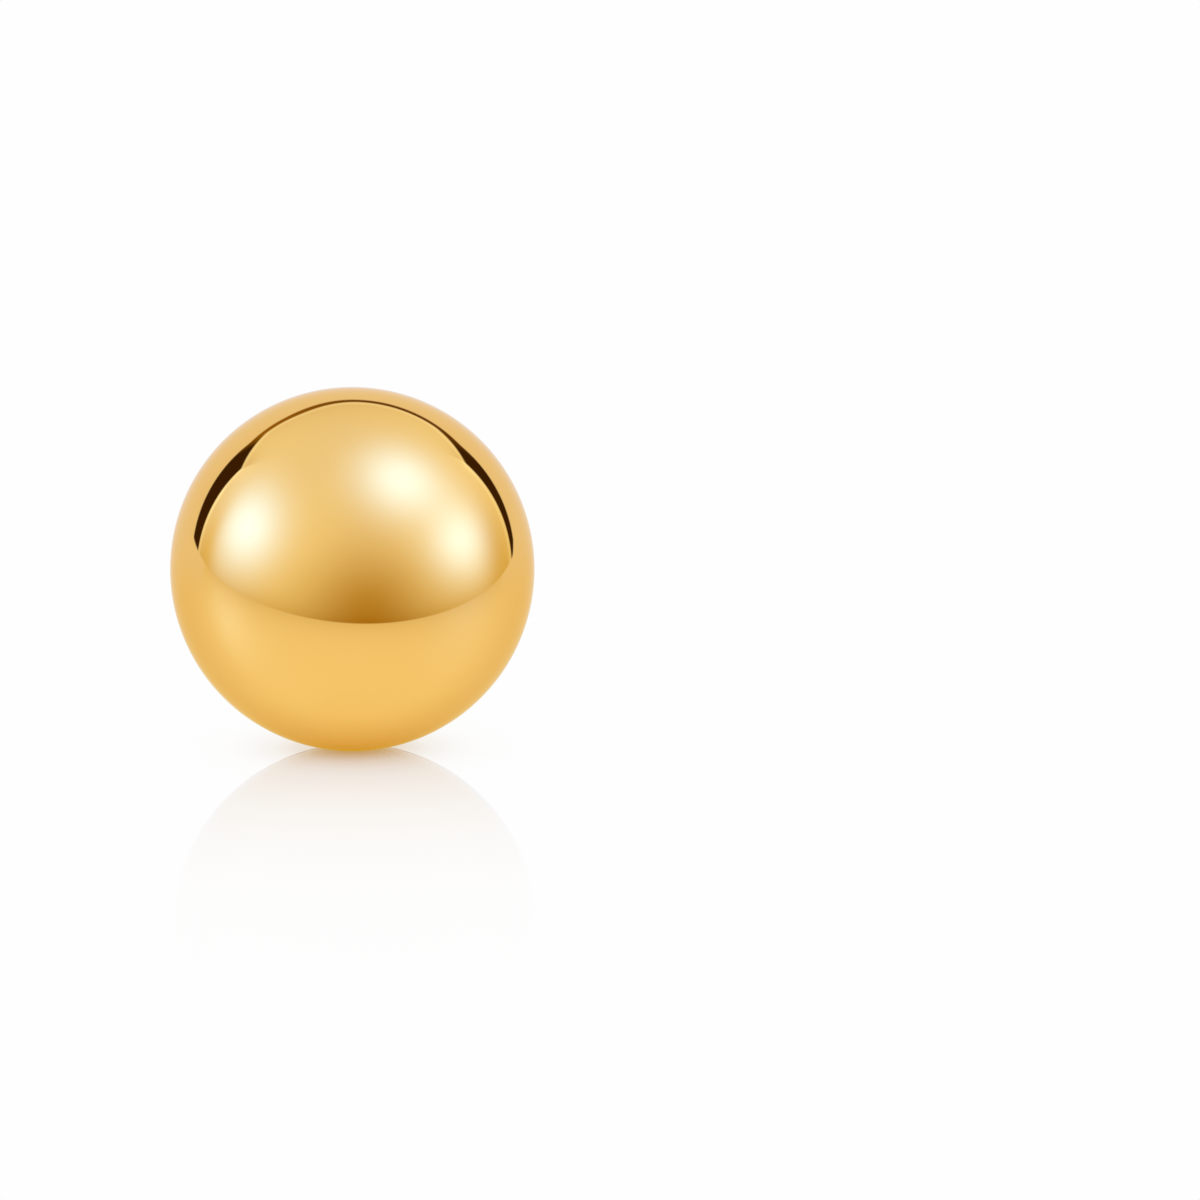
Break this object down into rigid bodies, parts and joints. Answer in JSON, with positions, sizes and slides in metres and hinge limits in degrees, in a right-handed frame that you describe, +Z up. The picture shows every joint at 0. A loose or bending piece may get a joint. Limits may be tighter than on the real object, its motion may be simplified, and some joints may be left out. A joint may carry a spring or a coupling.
{
  "type": "ball stud earring",
  "caption": "Polished gold-coloured ball stud earring with a straight post and a butterfly back that clamps it behind the ear lobe.",
  "frame": {"origin": "on the table, at the centre of the earring's footprint, as it lies by itself on its ball and the butterfly back", "axes": "+Z up; the ball faces -Y; the post runs back along +Y and drops 11.4 degrees to the table; +X is to the right as seen from the front of the ball"},
  "size_m": [0.008, 0.0178, 0.008],
  "materials": {
    "ball_metal": "yellow gold plating, mirror polished",
    "back_metal": "yellow gold plating over stamped strip, bright"
  },
  "bodies": {
    "root": {"ball_and_post": "ball_metal", "butterfly_back": "back_metal"}
  },
  "joints": []
}
